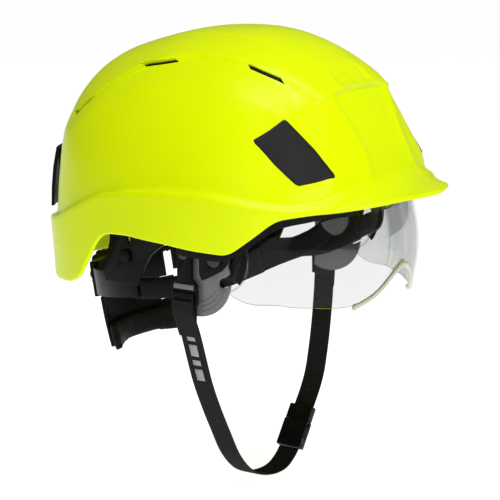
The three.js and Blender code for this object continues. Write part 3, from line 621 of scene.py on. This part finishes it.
def side_block(name, x0, x1, z0, z1, y0, y1, rounding=0.4):
    """A box on the side of the helmet with its edges rounded."""
    corners = [(x, y, z) for x in (x0, x1) for y in (y0, y1) for z in (z0, z1)]
    faces = [(0, 1, 3, 2), (4, 5, 7, 6), (0, 1, 5, 4), (2, 3, 7, 6), (0, 2, 6, 4), (1, 3, 7, 5)]
    block = new_object(name, corners, faces)
    bevel(block, rounding, 3)
    apply_modifiers(block)
    mark_sharp(block)
    return block


TEMPLE_DISC = (13.5, -2)
TEMPLE_RIBS = {"radii": (21.5, 18.5, 15.5), "start": -78, "end": -30}


def temple_rib(name, side, radius):
    """A raised curved rib on the grey temple plate."""
    loops = []
    for degrees in np.linspace(TEMPLE_RIBS["start"], TEMPLE_RIBS["end"], 25):
        cos, sin = sideways(degrees)
        loop = []
        for wide, y in ((-0.5, 82.1), (-0.3, 82.42), (0.3, 82.42), (0.5, 82.1)):
            r = radius + wide
            loop.append((TEMPLE_DISC[0] + r * cos, side * y, TEMPLE_DISC[1] + r * sin))
        loops.append(loop)
    return capped_tube(name, loops)


def make_lens():
    turn = np.linspace(-LENS["sweep"], LENS["sweep"], 141)[:, None]
    share = np.linspace(0, 1, 33)[None, :]
    climb = lerp(lens_low(turn), outline_at(LENS_UPPER, turn, soften=3), share)
    turn = turn + 0 * share
    lens = slab("visor_glass", lens_point(turn, climb, 0), lens_point(turn, climb, LENS["thickness"]))
    bevel(lens, 0.35, 2, 50)
    apply_modifiers(lens)
    mark_sharp(lens, 60)
    return lens


def make_nose_trim():
    """A soft edging of rounded section, with a bead at each end."""
    half_span = 27
    sections = []
    for turn in np.linspace(-half_span, half_span, 61):
        at = np.array(turn)
        end = min(1, (half_span - abs(turn)) / 1.2)
        fat = 1 + 0.35 * (1 - smoothstep(half_span - abs(turn), 0.5, 3.5))
        swell = fat * math.sqrt(max(0.02, end * (2 - end)))
        loop = []
        for k in range(16):
            a = 2 * math.pi * k / 16
            drop = 1.75 + 1.25 * swell * math.sin(a)
            depth = LENS["thickness"] / 2 + (LENS["thickness"] / 2 + 0.75) * swell * math.cos(a)
            loop.append(lens_point(at, lens_low(at) - drop, depth))
        sections.append(loop)
    return capped_tube("nose_trim_soft", sections)


# ---------------------------------------------------------------- webbing

STRAP = {"x": 6, "width": 15.5, "thickness": 1.3, "pitch": 1.5, "rib": 0.13}
ANCHOR_TURN = (
    (83.6, -31), (83.3, -20), (83.2, -13.7), (83.8, -12.2), (85.3, -11.6), (86.8, -12.2), (87.4, -13.7),
)
RIGHT_ROUTE = (
    (86.3, -24), (79, -41), (66, -75), (57, -93), (46, -112), (32, -134), (15, -149), (-6, -156.4),
    (-25, -157), (-35.2, -152.6), (-41.3, -147.7),
)
LEFT_ROUTE = (
    (87.3, -27), (86, -46), (82.5, -70), (78.8, -87), (74.6, -101), (69.2, -110.9), (61.6, -121.35),
    (54.25, -131.45),
)


def chin_route(side):
    points = ANCHOR_TURN + (LEFT_ROUTE if side > 0 else RIGHT_ROUTE)
    return [(STRAP["x"], side * y, z) for y, z in points]


def webbing(name, route, across, thickness=STRAP["thickness"]):
    """A woven strap along a route: fine ribs across it and a plain edge along each side."""
    rough = curve_through(route, 200)
    length = np.linalg.norm(np.diff(rough, axis=0), axis=1).sum()
    count = int(length / STRAP["pitch"] * 5) + 1
    line = curve_through(route, count)
    along = unit(np.gradient(line, axis=0))
    across = unit(np.array(across, float))
    outward = unit(np.cross(along, across))
    run = np.linspace(0, length, count)
    rib = STRAP["rib"] * np.cos(2 * np.pi * run / STRAP["pitch"])
    lanes = np.array([-1, -0.985, -0.93, -0.88, -0.8, -0.4, 0, 0.4, 0.8, 0.88, 0.93, 0.985, 1])
    woven = np.array([0, 0, 0, 0, 1, 1, 1, 1, 1, 0, 0, 0, 0])
    profile = np.array([0.35, 0.75, 0.95, 0.8, 0.92, 0.92, 0.92, 0.92, 0.92, 0.8, 0.95, 0.75, 0.35])
    half = thickness / 2

    def face(sign):
        lift = profile[None, :] * half + rib[:, None] * woven[None, :]
        spread = line[:, None] + across * (lanes * STRAP["width"] / 2)[None, :, None]
        return spread + sign * outward[:, None] * lift[..., None]

    return slab(name, face(1), face(-1))


STRAP_MARKS = {"start": 46, "lengths": (4, 4, 9, 4, 9), "gap": 3, "half_width": 3}


def strap_marks():
    """Plain pale dashes along the wearer's right strap, where it carries a printed mark."""
    line = curve_through(chin_route(-1), 800)
    run = np.concatenate([[0], np.cumsum(np.linalg.norm(np.diff(line, axis=0), axis=1))])
    across = np.array([1.0, 0, 0])
    marks = []
    start = STRAP_MARKS["start"]
    half = STRAP_MARKS["half_width"]
    for number, length in enumerate(STRAP_MARKS["lengths"], 1):
        at = np.linspace(start, start + length, 6)
        middle = np.stack([np.interp(at, run, line[:, i]) for i in range(3)], axis=1)
        along = unit(np.gradient(middle, axis=0))
        outward = unit(np.cross(along, across))
        outward *= np.sign(-outward[:, 1:2])
        spread = middle[:, None] + across * np.array([-half, half])[None, :, None]
        high = spread + 0.92 * outward[:, None]
        low = spread + 0.6 * outward[:, None]
        marks.append(slab(f"strap_mark_{number}", high, low))
        start += length + STRAP_MARKS["gap"]
    return marks


ANCHOR_BAR = {"inset": 0.2, "bottom": -9.3, "top": -5.9, "inner": 86, "outer": 87.3}


def make_anchor_bar(label, side):
    """The grey bar across each strap anchor, just above the webbing's turn."""
    half = STRAP["width"] / 2 - ANCHOR_BAR["inset"]
    ends = (STRAP["x"] - half, STRAP["x"] + half)
    heights = (ANCHOR_BAR["bottom"], ANCHOR_BAR["top"])
    faces = (side * ANCHOR_BAR["inner"], side * ANCHOR_BAR["outer"])
    return side_block("anchor_bar_" + label, *ends, *heights, *faces)


FOLD_ROUTES = {
    1: ((89.1, -16.2), (88.8, -27), (87.6, -40)),
    -1: ((89.1, -16.2), (87.9, -24.5), (83.4, -35), (80.6, -41.5)),
}


def make_fold(label, side):
    """The webbing's tail, sewn down over the strap below its anchor."""
    route = [(STRAP["x"], side * y, z) for y, z in FOLD_ROUTES[side]]
    return webbing("chin_fold_" + label, route, (1, 0, 0))


# Where each cradle strap ends outside: angle from the front, radius and height.
CRADLE_HANGERS = {"front": (68, 70, 30), "rear": (118, 82, 18)}
CRADLE_THICKNESS = 1.2
# A cradle strap's arch: (distance out, height), drawn for a hanger CRADLE_REACH out.
CRADLE_ARCH = ((19, 101), (38, 96), (54, 85), (66, 66), (71, 45))
CRADLE_REACH = 73.5


def cradle_route(degrees, hanger_radius, hanger_z):
    """A cradle strap's points from the crown ring out and down to its end, and its width's line."""
    cos, sin = sideways(degrees)
    share = hanger_radius / CRADLE_REACH
    arch = (*CRADLE_ARCH, (CRADLE_REACH, hanger_z))
    return [(r * share * cos, r * share * sin, z) for r, z in arch], (-sin, cos, 0)


# ---------------------------------------------------------------- headband

BAND = {"tilt": 10.5, "rise": -6.3, "centre_x": -34, "radius": 75, "front": 134}
BROW_HEIGHT = (
    (0, 38), (10, 37), (20, 30), (28, 19), (36, 13), (44, 10.8), (60, 1.8), (70, -4),
    (84, -3.9), (95, -2.6), (115, 0.4), (180, 0.4),
)
NAPE = {"top": -12.4, "bottom": -48, "lean": 1.5}
CROWN_PAD = {"radius": 27.5, "thickness": 5.6, "middle": 95.2}


def fitted(p):
    """From the headband's own axes, which lean back, to the helmet's."""
    p = np.asarray(p, float)
    cos, sin = sideways(BAND["tilt"])
    x, y, z = p[..., 0], p[..., 1], p[..., 2]
    return np.stack([x * cos - z * sin, y, x * sin + z * cos + BAND["rise"]], axis=-1)


def band_point(degrees, offset, z):
    cos, sin = sideways(degrees)
    reach = np.where(cos > 0, BAND["front"], BAND["radius"])
    out = np.stack([cos / reach, sin / BAND["radius"]], axis=-1)
    out = out / np.linalg.norm(out, axis=-1, keepdims=True)
    x = BAND["centre_x"] + reach * cos + offset * out[..., 0]
    y = BAND["radius"] * sin + offset * out[..., 1]
    return np.stack([x, y, z + 0 * x], axis=-1)


def brow_rise(degrees):
    """Height of the brow band's middle: it dips at the temples and climbs to the brow."""
    return outline_at(BROW_HEIGHT, degrees)


def nape_offset(down):
    return -0.2 - NAPE["lean"] * down**2


def pad_solid(name, surface, columns, rows, low, high):
    """A plain pad between two offsets of a surface, to be stuffed."""
    u = np.linspace(0, 1, columns)[:, None] + np.zeros((1, rows))
    v = np.linspace(0, 1, rows)[None, :] + np.zeros((columns, 1))
    return slab(name, surface(u, v, high), surface(u, v, low))


def stuffed(obj, voxel, cap, is_held, pressure=4, frames=20):
    """Swells a pad by a cloth simulation, holding the points that is_held picks."""
    remesh = obj.modifiers.new("voxels", "REMESH")
    remesh.mode = "VOXEL"
    remesh.voxel_size = voxel * MM
    apply_modifiers(obj)
    count = len(obj.data.vertices)
    rest = np.empty(count * 3)
    obj.data.vertices.foreach_get("co", rest)
    rest = rest.reshape(-1, 3)
    group = obj.vertex_groups.new(name="held")
    for index in np.nonzero(is_held(rest / MM))[0]:
        group.add([int(index)], 1, "REPLACE")
    cloth = obj.modifiers.new("cloth", "CLOTH")
    cloth.settings.use_pressure = True
    cloth.settings.uniform_pressure_force = pressure
    cloth.settings.vertex_group_mass = "held"
    cloth.settings.effector_weights.gravity = 0
    cloth.settings.quality = 5
    cloth.point_cache.frame_start = 1
    cloth.point_cache.frame_end = frames
    for step in range(1, frames + 1):
        bpy.context.scene.frame_set(step)
    moved = obj.evaluated_get(bpy.context.evaluated_depsgraph_get()).data
    now = np.empty(count * 3)
    moved.vertices.foreach_get("co", now)
    move = now.reshape(-1, 3) - rest
    size = np.linalg.norm(move, axis=1, keepdims=True)
    move = move * np.minimum(1, cap * MM / np.maximum(size, 1e-9))
    obj.modifiers.clear()
    obj.data.vertices.foreach_set("co", (rest + move).ravel())
    obj.data.update()
    bpy.context.scene.frame_set(1)
    smooth = obj.modifiers.new("smooth", "SMOOTH")
    smooth.factor = 0.5
    smooth.iterations = 3
    finer = obj.modifiers.new("finer", "SUBSURF")
    finer.levels = finer.render_levels = 1
    apply_modifiers(obj)
    obj.data.polygons.foreach_set("use_smooth", [True] * len(obj.data.polygons))


def nothing_held(p):
    return np.zeros(len(p), bool)


def make_brow_pad():
    """A thin pad along the inner face of the brow band, held along that face."""
    def surface(u, v, offset):
        degrees = lerp(-49.5, 49.5, u)
        half = 6.6 - 1.5 * np.abs(2 * u - 1) ** 6
        return fitted(band_point(degrees, offset, brow_rise(degrees) + lerp(-half, half, v)))

    pad = pad_solid("brow_pad_soft", surface, 120, 16, -3.6, -0.6)
    stuffed(pad, 2.0, 1.6, lambda p: surface_side(p) > -1.2)
    return pad


def surface_side(p):
    """How far a point of the headband region lies outside the band's inner face."""
    cos, sin = sideways(BAND["tilt"])
    x = p[:, 0] * cos + (p[:, 2] - BAND["rise"]) * sin - BAND["centre_x"]
    reach = np.where(x > 0, BAND["front"], BAND["radius"])
    gauge = np.hypot(x / reach, p[:, 1] / BAND["radius"])
    return (gauge - 1) * BAND["radius"]


def make_nape_pad():
    """The pad low on the nape plate, fuller in the middle."""
    def surface(u, v, offset):
        degrees = lerp(143, 217, u)
        down = lerp(0.52, 1.02 - 0.05 * np.cos(np.radians(5 * (degrees - 180))), v)
        z = lerp(NAPE["top"], NAPE["bottom"], down)
        return fitted(band_point(degrees, nape_offset(down) + offset, z))

    pad = pad_solid("nape_pad_soft", surface, 70, 28, -6.4, -0.8)
    stuffed(pad, 2.6, 3, nothing_held)
    return pad


def make_crown_pad():
    """A round cushion under the crown ring."""
    bpy.ops.mesh.primitive_cylinder_add(
        vertices=64, radius=CROWN_PAD["radius"] * MM, depth=CROWN_PAD["thickness"] * MM,
        location=(0, 0, CROWN_PAD["middle"] * MM),
    )
    pad = bpy.context.object
    pad.name = "crown_pad_soft"
    pad.data.transform(pad.matrix_world)
    pad.matrix_world.identity()
    pad.location = (0, 0, 0)
    stuffed(pad, 3, 2.5, nothing_held)
    return pad


# ---------------------------------------------------------------- materials

def node_material(name, color, roughness, grain=1500, bump=0.15, mottle=25, variation=0.06, **shader):
    """A moulded or woven surface: mottled colour and gloss, and a fine grain in the bump."""
    material = bpy.data.materials.new(name)
    material.use_nodes = True
    nodes, links = material.node_tree.nodes, material.node_tree.links
    principled = nodes["Principled BSDF"]
    for socket, value in shader.items():
        principled.inputs[socket.replace("_", " ")].default_value = value
    place = nodes.new("ShaderNodeTexCoord")

    def noise(scale, detail=3):
        node = nodes.new("ShaderNodeTexNoise")
        node.inputs["Scale"].default_value = scale
        node.inputs["Detail"].default_value = detail
        links.new(place.outputs["Object"], node.inputs["Vector"])
        return node

    def ramp(source, low, high):
        node = nodes.new("ShaderNodeMapRange")
        node.inputs["From Min"].default_value = 0.3
        node.inputs["From Max"].default_value = 0.7
        node.inputs["To Min"].default_value = low
        node.inputs["To Max"].default_value = high
        links.new(source.outputs["Fac"], node.inputs["Value"])
        return node

    blotches, fine = noise(mottle), noise(grain, 5)
    mix = nodes.new("ShaderNodeMix")
    mix.data_type = "RGBA"
    mix.inputs["A"].default_value = (*[c * (1 - variation) for c in color], 1)
    mix.inputs["B"].default_value = (*[min(1, c * (1 + variation)) for c in color], 1)
    links.new(ramp(blotches, 0, 1).outputs["Result"], mix.inputs["Factor"])
    links.new(mix.outputs["Result"], principled.inputs["Base Color"])
    gloss = ramp(noise(mottle * 3), roughness * 0.9, roughness * 1.1)
    links.new(gloss.outputs["Result"], principled.inputs["Roughness"])
    relief = nodes.new("ShaderNodeBump")
    relief.inputs["Strength"].default_value = bump
    relief.inputs["Distance"].default_value = 0.0002
    links.new(fine.outputs["Fac"], relief.inputs["Height"])
    links.new(relief.outputs["Normal"], principled.inputs["Normal"])
    return material


def clear_material(name, tint, gloss_roughness):
    """A clear sheet: it lets light straight through and mirrors more at a glance."""
    material = bpy.data.materials.new(name)
    material.use_nodes = True
    nodes, links = material.node_tree.nodes, material.node_tree.links
    shine = nodes["Principled BSDF"]
    shine.inputs["Base Color"].default_value = (0.93, 0.94, 0.93, 1)
    shine.inputs["Metallic"].default_value = 1
    shine.inputs["Roughness"].default_value = gloss_roughness
    through = nodes.new("ShaderNodeBsdfTransparent")
    place = nodes.new("ShaderNodeTexCoord")
    haze = nodes.new("ShaderNodeTexNoise")
    haze.inputs["Scale"].default_value = 30
    links.new(place.outputs["Object"], haze.inputs["Vector"])
    shade = nodes.new("ShaderNodeMix")
    shade.data_type = "RGBA"
    shade.inputs["A"].default_value = (*tint, 1)
    shade.inputs["B"].default_value = (*[min(1, c * 1.015) for c in tint], 1)
    links.new(haze.outputs["Fac"], shade.inputs["Factor"])
    links.new(shade.outputs["Result"], through.inputs["Color"])
    glance = nodes.new("ShaderNodeLayerWeight")
    glance.inputs["Blend"].default_value = 0.22
    share = nodes.new("ShaderNodeMapRange")
    share.inputs["To Min"].default_value = 0.0
    share.inputs["To Max"].default_value = 0.5
    links.new(glance.outputs["Fresnel"], share.inputs["Value"])
    mix = nodes.new("ShaderNodeMixShader")
    links.new(share.outputs["Result"], mix.inputs["Fac"])
    links.new(through.outputs["BSDF"], mix.inputs[1])
    links.new(shine.outputs["BSDF"], mix.inputs[2])
    links.new(mix.outputs["Shader"], nodes["Material Output"].inputs["Surface"])
    return material


HI_VIS = node_material(
    "hi_vis", (0.74, 0.9, 0.0), 0.3, grain=2600, bump=0.02, mottle=14, variation=0.012,
    Specular_IOR_Level=0.1,
)
BLACK = node_material(
    "black_plastic", (0.003, 0.003, 0.0033), 0.4, grain=2500, bump=0.2, variation=0.15,
    Specular_IOR_Level=0.1,
)
BADGE = node_material(
    "badge_black", (0.008, 0.008, 0.008), 0.5, grain=1400, bump=0.6, variation=0.2,
    Specular_IOR_Level=0.22,
)
GREY = node_material("grey_plastic", (0.15, 0.15, 0.148), 0.3, grain=1800, bump=0.12, variation=0.08)
LENS_CLEAR = clear_material("clear_lens", (0.86, 0.865, 0.865), 0.04)
NOSE = node_material("nose_rubber", (0.62, 0.59, 0.5), 0.45, grain=1200, bump=0.1, variation=0.08)
WEB = node_material(
    "webbing", (0.005, 0.005, 0.0055), 0.7, grain=3500, bump=0.5, mottle=300, variation=0.3,
    Specular_IOR_Level=0.2,
)
PAD = node_material(
    "padding", (0.004, 0.0038, 0.0036), 0.6, grain=1100, bump=0.6, mottle=60, variation=0.25,
    Specular_IOR_Level=0.12,
)
STEEL = node_material(
    "dark_steel", (0.05, 0.05, 0.052), 0.4, grain=4000, bump=0.1, variation=0.08,
    Metallic=1.0,
)
PRINT = node_material("pale_print", (0.3, 0.3, 0.31), 0.6, grain=4000, bump=0.3, variation=0.1)


# ---------------------------------------------------------------- camera, light and floor

# Lengths in metres, angles in degrees, and the lens and sensor in millimetres.
CAMERA = {"azimuth": 33, "elevation": 12, "distance": 1.4, "lens": 150.2, "sensor": 36}
# Each light's place, size and power. All of them point at the middle of the head.
LIGHTS = {
    "key": ((0.35, -0.2, 1.45), 0.8, 14.5),
    "front": ((1.35, -0.55, 0.6), 0.7, 6.5),
    "fill": ((0.4, -1.5, 0.35), 0.9, 1.8),
}
SKY_LIGHT = 0.14  # the white backdrop lights the piece less strongly than it looks
FLOOR = {"height": -0.17, "size": 12}


def make_camera():
    """The photograph's view: from the wearer's front right, a little above."""
    azimuth, elevation = math.radians(CAMERA["azimuth"]), math.radians(CAMERA["elevation"])
    level = Vector((math.sin(azimuth), -math.cos(azimuth), 0))
    back = level * math.cos(elevation) + Vector((0, 0, math.sin(elevation)))
    data = bpy.data.cameras.new("camera")
    data.lens = CAMERA["lens"]
    data.sensor_width = CAMERA["sensor"]
    data.clip_end = 50
    camera = bpy.data.objects.new("camera", data)
    bpy.context.scene.collection.objects.link(camera)
    camera.location = back * CAMERA["distance"]
    camera.rotation_mode = "QUATERNION"
    camera.rotation_quaternion = (-back).to_track_quat("-Z", "Y")
    bpy.context.scene.camera = camera


def soft_light(name, spot, size, energy):
    data = bpy.data.lights.new(name, "AREA")
    data.shape = "DISK"
    data.size = size
    data.energy = energy
    light = bpy.data.objects.new(name, data)
    light.location = spot
    light.rotation_mode = "QUATERNION"
    light.rotation_quaternion = (-Vector(spot)).to_track_quat("-Z", "Y")
    bpy.context.scene.collection.objects.link(light)


def make_studio():
    scene = bpy.context.scene
    scene.view_settings.view_transform = "Standard"
    scene.world = bpy.data.worlds.new("studio")
    scene.world.use_nodes = True
    nodes, links = scene.world.node_tree.nodes, scene.world.node_tree.links
    sky = nodes["Background"]
    sky.inputs["Color"].default_value = (1, 1, 1, 1)
    seen = nodes.new("ShaderNodeLightPath")
    strength = nodes.new("ShaderNodeMapRange")
    strength.inputs["To Min"].default_value = SKY_LIGHT
    strength.inputs["To Max"].default_value = 1.0
    links.new(seen.outputs["Is Camera Ray"], strength.inputs["Value"])
    links.new(strength.outputs["Result"], sky.inputs["Strength"])
    for name, (spot, size, energy) in LIGHTS.items():
        soft_light(name, spot, size, energy)
    bpy.ops.mesh.primitive_plane_add(size=FLOOR["size"], location=(0, 0, FLOOR["height"]))
    floor = bpy.context.object
    floor.name = "floor"
    floor.data.materials.append(node_material(
        "floor_white", (0.5, 0.5, 0.5), 0.9, mottle=2, variation=0.01, bump=0.02,
        Emission_Color=(1, 1, 1, 1), Emission_Strength=0.9,
    ))


# ---------------------------------------------------------------- assembly

BODY = {node: body for body, nodes in frame["record"]["behaviour"]["bodies"].items() for node in nodes}
SLOT = {row["node"]: row["material_slot"] for row in frame["record"]["subparts"]}
LOOK = {
    "hi_vis_shell": HI_VIS, "black_plastic": BLACK, "grey_plastic": GREY, "clear_lens": LENS_CLEAR,
    "nose_rubber": NOSE, "webbing": WEB, "padding": PAD, "steel_pin": STEEL,
}


def place(obj, *nodes, material=None):
    """The piece takes its body, and unless given its material by slot, from the first CAD node that it
    stands for.
    """
    slot = SLOT[nodes[0]]
    finish_piece(obj, BODY[nodes[0]], material or LOOK[slot], slot, *nodes)


make_camera()
make_studio()

place(make_shell(), "shell")
for label, side in SIDES:
    place(make_badge(label, side), f"badge_plate_{label}", material=BADGE)

# Black blocks plug the vent slits from just under the outer face to past the inner face: painted shade,
# standing for the dark inside seen through the slits.
for label, side in SIDES:
    for number, (start, end) in enumerate(VENTS, 1):
        name = f"vent_baffle_{label}_{number}"
        half_height = VENT_HALF_HEIGHT - 0.05
        slit_shade = vent_block(name, side, start + 0.2, end - 0.2, half_height, -0.4, -WALL - 1)
        finish_piece(slit_shade, BODY["shell"], BLACK, "black_plastic")

place(make_lens(), "visor_lens")
place(make_nose_trim(), "nose_trim")
for label, side in SIDES:
    finish_piece(make_hub(label, side), "visor", LENS_CLEAR, "clear_lens")

for label, side in SIDES:
    for number, radius in enumerate(TEMPLE_RIBS["radii"], 1):
        rib = temple_rib(f"temple_rib_{label}_{number}", side, radius)
        finish_piece(rib, BODY[f"temple_plate_{label}"], GREY, "grey_plastic")
    finish_piece(make_anchor_bar(label, side), BODY[f"strap_anchor_{label}"], GREY, "grey_plastic")
    finish_piece(make_fold(label, side), BODY[f"strap_anchor_{label}"], WEB, "webbing")
for mark in strap_marks():
    finish_piece(mark, BODY["web_right"], PRINT, "webbing")

for label, side in SIDES:
    place(webbing("chin_web_" + label, chin_route(side), (1, 0, 0)), f"web_{label}")
    for name, (degrees, radius, z) in CRADLE_HANGERS.items():
        route, across = cradle_route(side * degrees, radius, z)
        strap = webbing(f"cradle_web_{name}_{label}", route, across, thickness=CRADLE_THICKNESS)
        place(strap, f"cradle_{name}_{label}")


PADS = (
    ("brow_pad", make_brow_pad, 0.5),
    ("nape_pad", make_nape_pad, 0.6),
    ("crown_pad", make_crown_pad, 0.7),
)
for node, make_pad, fill in PADS:
    pad = make_pad()
    place(pad, node)

replaced = {n for obj in bpy.data.objects for n in obj.get("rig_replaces", [])}
for node in sorted(set(frame["nodes"]) - replaced):
    place(refined(node), node)
